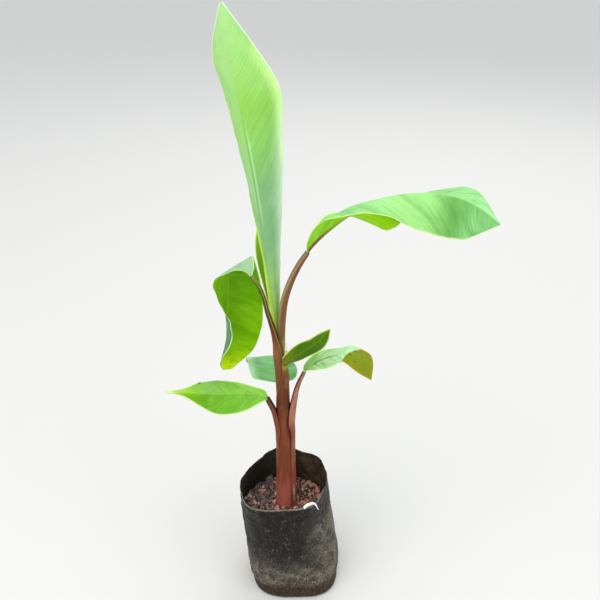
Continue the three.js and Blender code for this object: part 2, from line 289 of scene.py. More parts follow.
LEAVES = {
    "blade_low_left": dict(
        line=[[-19, -3, 232], [-23, -4, 245], [-27.5, -5, 261], [-33.5, -6, 279], [-60, -9, 287],
              [-95, -13, 289], [-126, -17, 294], [-154, -20, 297]],
        blade_from=3, face=[0.2, -0.1, 1],
        right=dict(width=[9, 14, 23, 34, 24, 8, 2], rise=[20, 10, 0, 0, 0], curl=[0, -15, -20, 0]),
        left=dict(width=[6, 23, 27, 24, 14, 4, 1], rise=[20, -10, -25, -10], curl=[0, -15, -20, 0]),
        lean=0.18, wave=0.9, rib=0.9,
    ),
    "blade_right_bent": dict(
        line=[[-7, -5, 250], [-2, -5, 276], [2, -4, 295], [10, -4, 315], [28, -10, 334],
              [46, -17, 346], [60, -22, 353], [73, -27, 345], [87, -32, 322]],
        blade_from=3, face=[-0.5, 0, 1],
        right=dict(width=[4, 12, 15, 12, 15, 12, 1], rise=[30, 0, -15, -15, -10, 0], curl=[0, -15, -15, 0]),
        left=dict(width=[5, 13, 17, 17, 18, 22, 1], rise=[45, 20, -6, -14, -2, 12], curl=[0, 0]),
        lean=0.15, wave=0.7, rib=0.8,
    ),
    "blade_back": dict(
        line=[[-16, 4, 262], [-16, 10, 271], [-18, 17, 278], [-19, 26, 280], [-25, 52, 290],
              [-29, 76, 288], [-31, 96, 270], [-34, 108, 238]],
        blade_from=3, face=[0, -0.1, 1],
        right=dict(width=[19, 28, 29, 30, 27, 17, 2], rise=[-5, -20, -15, 0], curl=[0, -5, -10, 0]),
        left=dict(width=[37, 36, 34, 35, 34, 22, 2], rise=[20, 8, 0, 0], curl=[0, -5, -10, 0]),
        lean=0.12, wave=1.6, rib=1.2,
    ),
    "blade_small_front": dict(
        line=[[-10, -6, 290], [-9.5, -9, 302], [-10.5, -12, 317], [-12.5, -14, 331], [-2, -20, 344],
              [11, -28, 359], [25, -37, 375], [38, -46, 397]],
        blade_from=3, face=[0.2, 0.9, 0.2],
        right=dict(width=[7, 10, 11, 9, 7, 1], rise=[40, 25, 15, 10], curl=[0, 0]),
        left=dict(width=[7, 12, 13, 12, 8, 1], rise=[40, 25, 15, 10], curl=[0, 0]),
        lean=0.18, wave=0.4, rib=0.8,
    ),
    "blade_left_hanging": dict(
        line=[[-20, -4, 352], [-21, -4, 362], [-27, -2, 382], [-31, 1, 394], [-35, 5, 409],
              [-41, 11, 421], [-50, 18, 430], [-60, 26, 433], [-72, 36, 433], [-79, 47, 411],
              [-81, 53, 374], [-84, 55, 331], [-89, 53, 282]],
        blade_from=6, face=[0.5, 0.2, 1],
        right=dict(width=[6, 30, 40, 43, 44, 42, 34, 8], rise=[40, 28, 10, 0, 0, 0], curl=[0, 0]),
        left=dict(
            width=[6, 32, 30, 28, 27, 25, 23, 3],
            rise=[30, -28, -32, -40, -50, -58, -45, -30],
            curl=[0, -10, -25, -50, -70, -60, -35, 0]),
        lean=0.14, wave=1.0, rib=0.8,
    ),
    "blade_right_arching": dict(
        line=[[-14, 4, 352], [-14, 4, 361], [-14, 3, 384], [-12, 3, 406], [-7, 2, 427], [2, 1, 449],
              [13, 0, 468], [32, -2, 490], [57, -4, 512], [82, -6, 529], [110, -8, 538],
              [141, -11, 540], [172, -15, 536], [195, -19, 525], [215, -22, 510]],
        blade_from=6, face=[-0.7, 0, 0.7],
        right=dict(
            width=[4, 15, 24, 31, 36, 41, 44, 45, 46, 44, 34, 2],
            rise=[60, 68, 78, 82, 52, 14, -20, -36, -44, -48, -48, -35],
            curl=[0, -10, -60, -115, -85, -40, -12, -4, 0, 0, 0, 0]),
        left=dict(
            width=[4, 12, 19, 27, 36, 37, 36, 35, 36, 36, 23, 2],
            rise=[60, 60, 35, -35, -80, -85, -55, -20, -8, 4, 8, 0],
            curl=[0, 0, -10, -10, -10, -10, 0, 0]),
        lean=0.25, wave=0.8, rib=1.3,
    ),
    "blade_new_leaf": dict(
        line=[[-20, 7, 359], [-28.5, 6, 425], [-37, 6, 497], [-43.5, 7, 548], [-51.5, 9, 599],
              [-64, 12, 669], [-71, 15, 725]],
        blade_from=0, face=[0, 1, 0],
        left=dict(
            width=[8, 36, 62, 70, 53, 47, 47, 28, 2],
            rise=[0, 0],
            curl=[230, 242, 242, 180, 104, 66, 38, 20, 0]),
        right=dict(
            width=[3, 5, 8, 18, 34, 42, 42, 31, 2],
            rise=[0, 30, 58, 66, 66, 64, 61, 48, 50],
            curl=[0, 0, 0, 0, 10, 10, 10, 10, 0]),
        lean=0.20, wave=0.5, rib=0.5, rib_at_foot=0.6,
    ),
}

LINE_DIVISIONS = 100
FRAME_COUNT = 800
ROW_SPACING = 1.3
COLUMNS = 22
NO_TURN = 1e-4
# the blade's thickness, how much of it is lost by the margin, and its least width
LEAF_THICKNESS = 0.8
MARGIN_THINNING = 0.5
LEAST_WIDTH = 0.5
# the share of the length over which the foot rounds out, and the share of the width it starts from
FOOT_ROUNDING = 0.035
FOOT_START = 0.35
# the midrib: the points over it, in radii and up to a share of the half blade, its radius at the foot,
# how far that reaches, its taper, its blend into the blade, its groove above and its relief below
RIB_COLUMNS = (0, 0.35, 0.7, 1.0, 1.3, 1.8)
RIB_WIDEST = 0.4
RIB_AT_FOOT = 2.6
RIB_FOOT_LENGTH = 12.0
RIB_TAPER = 0.8
RIB_BLEND = 1.5
RIB_RELIEF = 0.7
GROOVE_DEPTH = 0.4
GROOVE_WIDTH = 0.75
# the side veins' slant: the shares of the length over which it comes and goes, and its growth outward
SLANT_FOOT = 0.08
SLANT_TIP = 0.28
SLANT_POWER = 1.1
# swells between the side veins, and waves of the margin: length along the midrib and share.
# A swell grows over these distances from the midrib, and dies away by the margin.
VEIN_SWELLS = ((5.2, 0.5), (8.7, 0.6), (14.3, 0.6), (27.0, 0.8))
MARGIN_WAVES = ((23.0, 0.35), (41.0, 0.6), (67.0, 0.7))
SWELL_DEPTH = 0.16
SWELL_GROWS = (2.0, 12)
SWELL_ENDS = 0.15
WAVE_POWER = 2.5
WAVE_STARTS = 6.28


def leaf_frames(leaf):
    """Places, upper sides and right-hand sides at even shares of the blade's length"""
    line = leaf["line"]
    fine = smooth(line, np.linspace(0, 1, (len(line) - 1) * LINE_DIVISIONS + 1))
    reach = np.r_[0, np.cumsum(np.linalg.norm(np.diff(fine, axis=0), axis=1))]
    foot = reach[leaf["blade_from"] * LINE_DIVISIONS]
    at = np.linspace(foot, reach[-1], FRAME_COUNT)
    place = np.stack([np.interp(at, reach, fine[:, k]) for k in range(3)], -1)
    ahead = unit(np.gradient(place, axis=0))
    up = carry(leaf["face"], ahead)
    return dict(place=place, up=up, right=np.cross(ahead, up), length=reach[-1] - foot)


def at_share(rows, s):
    shares = np.linspace(0, 1, len(rows))
    return np.stack([np.interp(s, shares, rows[:, k]) for k in range(3)], -1)


def half_width(half, s):
    rounding = np.sqrt(np.clip(s / FOOT_ROUNDING, 0.0, 1))
    return np.maximum(smooth(half["width"], s), LEAST_WIDTH) * np.maximum(rounding, FOOT_START)


def half_surface(frames, half, side, s, t):
    """Points of a half blade, the way its top looks and its turn, at shares along and across"""
    width = half_width(half, s)
    rise = np.radians(smooth(half["rise"], s))
    curl = np.radians(smooth(half["curl"], s))
    curl = np.where(np.abs(curl) < NO_TURN, NO_TURN, curl)
    turn = rise + curl * t
    out = (width * (np.sin(turn) - np.sin(rise)) / curl)[..., None]
    over = (width * (np.cos(rise) - np.cos(turn)) / curl)[..., None]
    up, right = at_share(frames["up"], s), at_share(frames["right"], s)
    place = at_share(frames["place"], s) + side * right * out + up * over
    top = up * np.cos(turn)[..., None] - side * right * np.sin(turn)[..., None]
    return place, top, np.abs(np.degrees(turn))


def waves(distance, parts, seed):
    """A sum of waves of the lengths and shares in parts, each from a random start"""
    rng = np.random.default_rng(seed)
    total = np.zeros_like(distance)
    for length, share in parts:
        total += share * np.sin(2 * np.pi * distance / length + rng.uniform(0, WAVE_STARTS))
    return total


def half_blade(leaf, frames, half, side, rib, s_row, seed):
    """A half blade's upper and lower skins, as rows of points, and the facts for its paint"""
    columns = np.array(RIB_COLUMNS)
    near = np.minimum(np.outer(1 / half_width(half, s_row), columns) * rib, columns * RIB_WIDEST)
    far = near[:, -1:] + (1 - near[:, -1:]) * np.linspace(0, 1, COLUMNS + 1)[None, 1:]
    t = np.hstack([near, far])
    slant = leaf["lean"] * (1 - np.exp(-s_row / SLANT_FOOT)) * (1 - np.exp((s_row - 1) / SLANT_TIP))
    s = np.clip(s_row[:, None] + slant[:, None] * t**SLANT_POWER, 0, 1)
    place, top, bend = half_surface(frames, half, side, s, t)
    vein = np.broadcast_to(s_row[:, None] * frames["length"], t.shape)
    reach = t * half_width(half, s)
    swell = waves(vein, VEIN_SWELLS, seed + side) * ease(reach, *SWELL_GROWS) * ease(1 - t, 0, SWELL_ENDS)
    wave = waves(vein, MARGIN_WAVES, seed + 7 * side) * leaf["wave"] * t**WAVE_POWER * np.sin(np.pi * s)
    place = place + top * (swell * SWELL_DEPTH + wave)[..., None]
    near_rib = 1 - ease(reach, 0, RIB_BLEND * rib)[..., None]
    way = unit(at_share(frames["up"], s) * near_rib + top * (1 - near_rib))
    thin = LEAF_THICKNESS / 2 * (1 - MARGIN_THINNING * t)
    groove = GROOVE_DEPTH * rib * np.exp(-((reach / (GROOVE_WIDTH * rib)) ** 2))
    round_rib = rib * np.sqrt(np.clip(1 - (reach / rib) ** 2, 0, 1))
    upper = place + way * (thin - groove)[..., None]
    lower = place - way * (thin + RIB_RELIEF * round_rib)[..., None]
    rim = (1 - t) * half_width(half, s)
    return dict(upper=upper, lower=lower,
                along=s, across=side * t, vein=vein, reach=reach, rim=rim, bend=bend)


def blade(node, paints, replaces, seed):
    """A leaf's blade: an upper and a lower skin with their own paints, joined round the margin"""
    leaf = LEAVES[node]
    frames = leaf_frames(leaf)
    length = frames["length"]
    rows = int(length / ROW_SPACING)
    s_row = np.linspace(0, 1, rows)
    extra = leaf.get("rib_at_foot", RIB_AT_FOOT) - leaf["rib"]
    rib = leaf["rib"] * (1 - RIB_TAPER * s_row) + extra * np.exp(-s_row * length / RIB_FOOT_LENGTH)
    left = half_blade(leaf, frames, leaf["left"], -1, rib[:, None], s_row, seed)
    right = half_blade(leaf, frames, leaf["right"], 1, rib[:, None], s_row, seed)
    whole = {key: np.concatenate([left[key][:, :0:-1], right[key]], axis=1) for key in left}
    upper, lower = whole.pop("upper"), whole.pop("lower")
    columns = upper.shape[1]
    count = rows * columns
    points = np.vstack([upper.reshape(-1, 3), lower.reshape(-1, 3)])
    above = grid_faces(rows, columns, turned=True)
    below = grid_faces(rows, columns, start=count)
    rim = list(range(columns))
    rim += [r * columns + columns - 1 for r in range(1, rows)]
    rim += [(rows - 1) * columns + c for c in range(columns - 2, -1, -1)]
    rim += [r * columns for r in range(rows - 2, 0, -1)]
    edge = [(a, b, b + count, a + count) for a, b in zip(rim, rim[1:] + rim[:1])]
    picks = [0] * len(above) + [1] * len(below) + [0] * len(edge)
    facts = {fact: np.tile(values.ravel(), 2) for fact, values in whole.items()}
    add_piece(node + "_leaf", points, above + below + edge, paints, replaces, facts, picks)


# A leaf's noise follows the side veins, at a pace along the midrib and one outward: wide bands,
# threads and the finest grain. It gives its full dark or light tone at these values.
BAND_PACE = (0.07, 0.012)
THREAD_PACE = (0.45, 0.014)
GRAIN_PACE = (1.1, 0.05)
NOISE_HIGH = 0.72
NOISE_LOW = 0.28
SHEEN_ROUGHNESS = 0.35
SHEEN_TONE = "e8f8e8"
# a patch is drawn out along the leaf by this share of its width across
PATCH_ACROSS = 0.25


def leaf_paint(name, tones, left=None, rib=None, rib_share=0.6, rib_foot=None, rib_until=0.12, beside=None,
               margin="dff0b0", dark="3f7a10", light="c8f0a0", bands=0.22, lines=0.16, mottle=0.12,
               shine=0.16, sheen=0.06, tip=None, edge_highlights=(), bend_sheen=None, rib_span=(0.0, 1.0),
               patches=(), relief=0.0007):
    """A leaf's surface. Tones run along the blade, and may differ on its left half. Bands, relief and
    lines follow the side veins. rib is the midrib's tone and rib_foot its tone near the petiole.
    beside is a pale line along the midrib's left. margin is a tone or tones along the blade.
    tip is where a dry tip begins, how far that slants across, its tone and its edge's tone.
    edge_highlights are pale tones that paint highlights beside a margin, each with its width, its end along
    the blade and its side.
    bend_sheen is a pale tone that paints the sheen where the left half bends away, its share and where that
    ends.
    patches are spots: along, across, size and tone."""
    p = Paint(name, shine)
    along, across, vein, reach, rim = [p.fact(fact) for fact in ("along", "across", "vein", "reach", "rim")]

    def veined(pace_along, pace_out):
        place = p.join(p.times(vein, pace_along), p.times(reach, pace_out), across)
        return p.noise(place, 1.0, 2.0)

    colour = p.ramp(along, tones)
    if left:
        colour = p.tint(colour, p.ramp(along, left), across, 0.02, -0.02)
    band = veined(*BAND_PACE)
    colour = p.tint(colour, dark, band, 0.50, NOISE_HIGH, bands)
    colour = p.tint(colour, light, band, 0.50, NOISE_LOW, bands)
    cloud = p.noise(p.place(), 55.0, 4.0, 0.55)
    colour = p.tint(colour, light, cloud, 0.52, NOISE_HIGH, mottle)
    colour = p.tint(colour, dark, cloud, 0.48, NOISE_LOW, mottle)
    thread = veined(*THREAD_PACE)
    colour = p.tint(colour, dark, thread, 0.54, NOISE_HIGH, lines)
    colour = p.tint(colour, light, thread, 0.44, NOISE_LOW, lines)
    if tip:
        start, slant, tone, edge_tone = tip
        past_start = p.less(p.less(along, start), p.times(across, slant))
        dry = p.mix(p.map(thread, 0.35, 0.75, 0.0, 0.35), tone, edge_tone)
        colour = p.tint(colour, dry, past_start, -0.008, 0.012)
        browned = p.times(p.map(past_start, 0.0, 0.02), p.map(rim, 4.5, 0.5))
        colour = p.mix(browned, colour, edge_tone)
    if beside:
        near = p.times(p.map(reach, 0.8, 1.8), p.map(reach, 4.2, 2.2), p.map(across, 0.0, -0.001, 0, 0.35),
                       p.map(along, 0.72, 0.6), p.map(along, 0.34, 0.44))
        colour = p.mix(near, colour, beside)
    # painted highlights beside a margin, where it catches the light
    for tone, width, until, side in edge_highlights:
        near = p.times(p.map(rim, width, 0.5), p.map(across, 0.0, 0.05 * side),
                       p.map(along, until, 0.8 * until, 0, 0.8))
        colour = p.mix(near, colour, tone)
    # painted sheen where the left half bends away from view
    if bend_sheen:
        tone, share, until = bend_sheen
        bend = p.fact("bend")
        near = p.times(p.map(bend, 30, 80), p.map(bend, 130, 95), p.map(across, 0.0, -0.05),
                       p.map(along, until, 0.8 * until, 0, share))
        colour = p.mix(near, colour, tone)
    if rib:
        start, end = rib_span
        near = p.times(p.map(along, start - 0.01, start + 0.05), p.map(along, end + 0.01, end - 0.1),
                       p.map(reach, 1.4, 0.4, 0, rib_share))
        colour = p.mix(near, colour, rib)
    if rib_foot:
        near = p.times(p.map(along, rib_until, 0.3 * rib_until), p.map(reach, 3.4, 1.8))
        colour = p.mix(near, colour, rib_foot)
    colour = p.tint(colour, p.ramp(along, margin), rim, 1.7, 0.5, 0.85)
    for place_along, place_across, size, tone in patches:
        off_along = p.less(along, place_along)
        off_across = p.times(p.less(across, place_across), PATCH_ACROSS)
        gap = p.math("SQRT", p.plus(p.times(off_along, off_along), p.times(off_across, off_across)))
        gap = p.plus(gap, p.times(p.less(cloud, 0.5), size))
        colour = p.tint(colour, tone, gap, size, 0.3 * size)
    if sheen:
        p.set("Sheen Weight", sheen)
        p.set("Sheen Roughness", SHEEN_ROUGHNESS)
        p.set("Sheen Tint", SHEEN_TONE)
    return p.finish(colour, p.map(thread, 0.3, 0.7, 0.44, 0.58), p.plus(veined(*GRAIN_PACE), thread), relief)


def leaf(node, name, seed, upper, under, slot="leaf", also=()):
    """A leaf with the looks of its two sides, in place of its solid and of those in also"""
    paints = [leaf_paint(name + "_upper", **upper), leaf_paint(name + "_under", **under)]
    blade(node, paints, (node, *also), seed)


# Sheaths and petioles: rows of centre, radius, half wrap in degrees and wall at the back,
# from low on the stem, where each is a shell round it, to the foot of its blade

SHEATHS = {
    "petiole_low_left": [
        (-12, 0, 106, 12.4, 52, 2), (-12.2, 0, 150, 11.7, 50, 2), (-12.4, 0, 188, 11.3, 50, 2),
        (-14.4, -0.8, 215, 10.2, 60, 3), (-18, -2.6, 232, 7.2, 90, 4.2), (-21.8, -4, 245, 5, 120, 3.2),
        (-26, -5, 261, 3.9, 134, 3), (-33.5, -6, 279, 3.5, 130, 2.6),
    ],
    "petiole_right": [
        (-12, 0, 106, 13.4, 64, 2), (-12.2, 0, 150, 12.7, 62, 2), (-12.3, 0, 200, 12, 60, 2),
        (-10.5, -0.8, 232, 10.4, 66, 3), (-6.4, -3.5, 250, 6.4, 110, 4), (-2.4, -5, 272, 4.3, 142, 3.2),
        (2.2, -4.4, 295, 3.2, 136, 2.8), (10, -4, 315, 2.6, 124, 2),
    ],
    "petiole_back": [
        (-12.2, 0, 106, 13, 64, 2), (-12.3, 0, 150, 12.4, 60, 2), (-13, 0, 210, 11.4, 60, 2),
        (-14, 1, 240, 9.4, 64, 3), (-15.5, 4, 262, 6.2, 85, 4.2), (-16, 10, 271, 4.4, 100, 3),
        (-18, 17, 278, 3.6, 110, 2.6), (-19, 26, 280, 2.8, 115, 2),
    ],
    "petiole_small_front": [
        (-12, 0, 106, 13.2, 150, 2), (-12.2, 0, 150, 12.5, 150, 2), (-12.6, 0, 200, 11.7, 145, 2),
        (-14, 0, 228, 9.7, 140, 2), (-14.4, -0.5, 243, 9.1, 135, 2), (-15, -1, 262, 8.6, 118, 2.4),
        (-14.8, -2.6, 282, 7.9, 104, 3.4), (-12.6, -7, 300, 5.4, 104, 3.4), (-11.3, -12, 317, 4.2, 112, 2.8),
        (-12.5, -14, 331, 3.2, 115, 2.2),
    ],
    "petiole_left_hanging": [
        (-14.4, 0, 255, 7.4, 176, 1.2), (-15.8, 0.3, 285, 7.4, 174, 1.2), (-17, 0, 312, 7.2, 165, 1.4),
        (-19.9, -0.8, 336, 6.2, 150, 1.8), (-20.4, -2, 352, 5.8, 128, 2.4), (-23, -3, 368, 4.9, 112, 3),
        (-27, -2, 382, 4.1, 108, 3.2), (-31, 1, 394, 3.6, 110, 3), (-35, 5, 409, 3.2, 112, 2.8),
        (-41, 11, 421, 3, 114, 2.6), (-50, 18, 430, 2.8, 116, 2.4),
    ],
    "petiole_right_arching": [
        (-15.5, 3, 320, 5.6, 140, 3), (-16.2, 4, 345, 4.6, 146, 3), (-16.3, 4, 361, 4.6, 148, 3),
        (-15.4, 3, 384, 4.9, 146, 3.2), (-12.8, 3, 406, 4.9, 140, 3.2), (-7.2, 2, 427, 4.7, 128, 3.2),
        (2, 1, 449, 4.3, 120, 3), (13, 0, 468, 3.5, 118, 2.6),
    ],
}
RINGS_PER_ROW = 14
ARC_POINTS = 22
# the wall thins toward the stalk's margins, by a power of the cosine
MARGIN_WALL = 0.45
WALL_POWER = 1.2
# ridges down a stalk: height and number for a turn, and how far and how often the first kind wanders
RIDGES = (0.06, 9)
FINE_RIDGES = (0.05, 17)
RIDGE_WANDER = (0.7, 9)
# how far from a margin an end's middle counts as
END_TO_MARGIN = 5


def sheath(node, leaf_node, paint):
    """A stalk: low down a shell round the stem, and further on a grooved petiole"""
    rows = SHEATHS[node]
    u = np.linspace(0, 1, (len(rows) - 1) * RINGS_PER_ROW + 1)
    values = smooth(rows, u)
    place, radius, wall = values[:, :3], values[:, 3], values[:, 5]
    wrap = np.radians(values[:, 4])
    ahead = unit(np.gradient(place, axis=0))
    up = carry(LEAVES[leaf_node]["face"], ahead[::-1])[::-1]
    right = np.cross(ahead, up)
    share = np.linspace(-1, 1, ARC_POINTS)
    thinning = np.cos(share * np.pi / 2) ** WALL_POWER
    rings, to_margin = [], []
    for i in range(len(u)):
        turn = share * wrap[i]
        outer = -np.outer(np.cos(turn), up[i]) + np.outer(np.sin(turn), right[i])
        wander = RIDGE_WANDER[0] * np.sin(u[i] * RIDGE_WANDER[1])
        ridge = RIDGES[0] * np.sin(RIDGES[1] * turn + wander) + FINE_RIDGES[0] * np.sin(FINE_RIDGES[1] * turn)
        back = MARGIN_WALL + (wall[i] - MARGIN_WALL) * thinning
        outside = place[i] + outer * (radius[i] + ridge)[:, None]
        inside = place[i] + outer * (radius[i] - back)[:, None]
        rings.append(np.vstack([outside, inside[::-1]]))
        gap = (1 - np.abs(share)) * wrap[i] * radius[i]
        to_margin += [gap, gap[::-1]]
    points, faces = tube(rings)
    facts = {
        "edge": np.concatenate(to_margin + [[END_TO_MARGIN] * 2]),
        "along": np.concatenate([np.repeat(u, 2 * ARC_POINTS), [0, 1]]),
    }
    add_piece(node + "_sheath", points, faces, [paint], (node,), facts)


# how fast the grain and the blotches change across a stalk and up it
STALK_GRAIN = (420.0, 420.0, 22.0)
STALK_BLOTCH = (110.0, 110.0, 40.0)


def stalk_paint(name, tones, edge="4a2a18", streak_dark="4a2414", streak_light="b08a70", edge_width=1.0):
    """A stalk's surface: tones along it, streaks down it and its margins' tone or tones. A dark margin tone
    partly paints the shade in the seam where one sheath's margin lies over the next, over the margin's own
    dried brown
    """
    p = Paint(name, 0.2)
    along, to_margin = p.fact("along"), p.fact("edge")
    grain = p.noise(p.place(), STALK_GRAIN, 4.0, 0.6)
    blotch = p.noise(p.place(), STALK_BLOTCH, 4.0, 0.6)
    colour = p.ramp(along, tones)
    colour = p.tint(colour, streak_dark, grain, 0.50, 0.74, 0.38)
    colour = p.tint(colour, streak_light, grain, 0.46, 0.24, 0.28)
    colour = p.tint(colour, streak_dark, blotch, 0.52, 0.70, 0.4)
    colour = p.tint(colour, streak_light, blotch, 0.46, 0.30, 0.16)
    # the margins' tone; a dark one partly paints the shade in the seam beside the next sheath
    colour = p.tint(colour, p.ramp(along, edge), to_margin, edge_width, 0.2)
    return p.finish(colour, p.map(grain, 0.3, 0.7, 0.39, 0.58), grain, 0.0007)


def stalk(node, leaf_node, **looks):
    sheath(node, leaf_node, stalk_paint(node.removeprefix("petiole_") + "_stalk", **looks))


# Pseudostem: rows of height, centre and half sizes, and tones from the soil up

STEM_ROWS = [
    (106, -12, 0, 15, 14), (114, -12, 0, 13.6, 13), (122, -12, 0, 12.4, 12),
    (150, -12.2, 0, 11.6, 11.3), (200, -12.4, 0, 10.8, 10.5), (228, -13.6, 0, 9.4, 9.6),
    (243, -14.2, 0, 8.6, 9), (262, -14.8, 0, 7.4, 8), (285, -15.8, 0, 6.9, 7.4),
    (315, -16.6, 0, 6.6, 7), (338, -19, 0, 5.4, 5.6), (352, -19.5, 0, 4.2, 4.4),
]
STEM_TONES = "0 b0584c, 0.12 9c4a3a, 0.3 743c1e, 0.45 6e3018, 0.6 6a2a12, 0.8 72381e, 1 7f502e"
STEM_SPAN = (0.11, 0.36)
STEM_TURNS = 180
STEM_STEP = 1.6
# flutes and lumps: height, number for a turn, and how far up the stem they twist by a radian
STEM_RELIEF = ((0.12, 11, 60), (0.09, 23, -90), (0.25, 2, 23), (0.2, 3, -31))
STEM_GRAIN = (420.0, 420.0, 16.0)
STEM_BLOTCH = (90.0, 90.0, 35.0)


def pseudostem(paint):
    table = np.array(STEM_ROWS, float)
    heights = np.arange(table[0, 0], table[-1, 0] + STEM_STEP / 2, STEM_STEP)
    x, y, rx, ry = [np.interp(heights, table[:, 0], table[:, k]) for k in range(1, 5)]
    turn = even_turns(STEM_TURNS)
    rings = []
    for i, z in enumerate(heights):
        out = sum(height * np.sin(number * turn + z / twist) for height, number, twist in STEM_RELIEF)
        rings.append(oval(x[i], y[i], rx[i] + out, ry[i] + out, z, turn))
    points, faces = tube(rings)
    add_piece("pseudostem_core", points, faces, [paint], ("pseudostem",))


def stem_paint():
    p = Paint("pseudostem_skin", 0.35)
    place = p.place()
    height = p.split(place)[2]
    grain = p.noise(place, STEM_GRAIN, 4.0, 0.62)
    blotch = p.noise(place, STEM_BLOTCH, 3.0)
    colour = p.ramp(p.map(height, *STEM_SPAN, smooth=False), STEM_TONES)
    colour = p.tint(colour, "4a2014", grain, 0.50, 0.74, 0.4)
    colour = p.tint(colour, "b8735a", grain, 0.46, 0.24, 0.25)
    colour = p.tint(colour, "5a2818", blotch, 0.55, 0.78, 0.4)
    return p.finish(colour, p.map(grain, 0.3, 0.7, 0.36, 0.52), grain, 0.001)


# Nursery bag

# height, centre, half sizes, and how far its corners stand out as a share of them
BAG_ROWS = [
    (0, -0.5, -1, 52, 53, 0.12), (3, -1, -1, 56, 57, 0.12), (10, -2, -1, 58.5, 58, 0.1),
    (30, -4, 0, 60.5, 58.5, 0.07), (55, -6, -1, 60.5, 58, 0.04), (80, -9, -2, 59.5, 57, 0.02),
    (104, -12, -3, 57.5, 56, 0.01), (130, -14, -4, 56.5, 55, 0.01), (152, -15.5, -4, 55.5, 54, 0),
]
# the mouth's height over its mean, and how far its folds stand out, at even turns from the right
MOUTH_RISE = [4, 4, 10, 5, -2, -5, -2, -3]
MOUTH_OUT = [0.5, 1.5, 6.5, 0, 1.5, -2.5, -7, -4, 0, 1.5, 5.5, 2.5, -0.5, 0.3, 1.5, -1.5]
BAG_TURNS = 300
BAG_STEP = 1.6
BAG_FILM = 0.8
SOIL_LEVEL = 114
# how far below the soil the film's inner side goes, and how far its lip stands up
INNER_BELOW_SOIL = 8
LIP_RISE = 0.35
# heights of the foot's rounded edge, where the wall starts, and how far up it has its full wrinkles
FOOT_EDGE = (0, 0.6, 1.6)
WALL_FROM = 3
WRINKLES_FROM = 12
# the crease over the foot, from its top, and how far the foot stands in below it
FOOT_CREASE = (19, 14)
FOOT_INSET = 1.6
LOST_AT_MOUTH = 0.5
# swells: depth, pace round the bag, height for one, how much finer, and place in the noise
BAG_SWELLS = ((1.8, 2.2, 46, 1.0, (0, 0, 0)), (0.9, 2.2, 46, 2.3, (7, 3, 1)))
# creases: depth and width, then as for the swells
BAG_CREASES = ((1.1, 0.22, 3.5, 14, 1.0, (1, 9, 4)), (0.9, 0.16, 6, 60, 1.0, (4, 4, 8)))


def wall_noise(turn, z, pace, height, finer, offset):
    around = Vector((pace * math.cos(turn), pace * math.sin(turn), z / height))
    return noise.noise(around * finer + Vector(offset))


def bag_wrinkle(turn, z):
    """How far the soft wall stands out, in millimetres"""
    total = sum(depth * wall_noise(turn, z, *where) for depth, *where in BAG_SWELLS)
    for depth, width, *where in BAG_CREASES:
        total -= depth * max(0.0, width - abs(wall_noise(turn, z, *where))) / width
    return total


def bag_ring(z, turns=BAG_TURNS):
    """The bag's wall at a height, as points at even turns"""
    table = np.array(BAG_ROWS, float)
    share = float(np.interp(z, table[:, 0], np.linspace(0, 1, len(table))))
    x, y, rx, ry, square = smooth(table[:, 1:], share)
    turn = even_turns(turns)
    rise = smooth(MOUTH_RISE + MOUTH_RISE[:1], turn / (2 * np.pi))
    fold = smooth(MOUTH_OUT + MOUTH_OUT[:1], turn / (2 * np.pi))
    near_top = ease(z, SOIL_LEVEL, table[-1, 0])
    off_foot = ease(z, 0, WRINKLES_FROM)
    in_foot = ease(z, *FOOT_CREASE)
    out = np.array([bag_wrinkle(a, z) for a in turn]) * off_foot * (1 - LOST_AT_MOUTH * near_top)
    out += fold * near_top - FOOT_INSET * in_foot * off_foot
    corner = 1 + square * np.sin(2 * turn) ** 2
    return oval(x, y, rx * corner + out, ry * corner + out, z + rise * near_top, turn)


def nursery_bag(paint):
    """The bag's film: its wall from the foot up, its lip, and its inner side down into the soil"""
    top = BAG_ROWS[-1][0]
    heights = np.concatenate([FOOT_EDGE, np.arange(WALL_FROM, top, BAG_STEP), [top]])
    outer = [bag_ring(z) for z in heights]
    middle = np.array([*BAG_ROWS[-1][1:3], 0])
    inner_heights = [z for z in heights[::-1] if z >= SOIL_LEVEL - INNER_BELOW_SOIL]
    inner = []
    for ring in outer[: -len(inner_heights) - 1 : -1]:
        inward = (ring - middle) * (1, 1, 0)
        inner.append(ring - unit(inward) * BAG_FILM)
    lip = (outer[-1] + inner[0]) / 2 + np.array([0, 0, LIP_RISE])
    points, faces = tube(outer + [lip] + inner)
    inside = np.zeros(len(points))
    inside[(len(outer) + 1) * BAG_TURNS :] = 1
    below_lip = top - np.concatenate([heights, [top], inner_heights])
    facts = {"inside": inside, "lip": np.concatenate([np.repeat(below_lip, BAG_TURNS), [top, top]])}
    add_piece("nursery_bag_film", points, faces, [paint], ("nursery_bag",), facts)


# how fast the film's clouds, dust, creases and grit change, by metre
BAG_CLOUD = (28.0, 28.0, 34.0)
BAG_DUST = (75.0, 75.0, 90.0)
BAG_WANDER = (55.0, 55.0, 30.0)
BAG_GRIT = 520.0


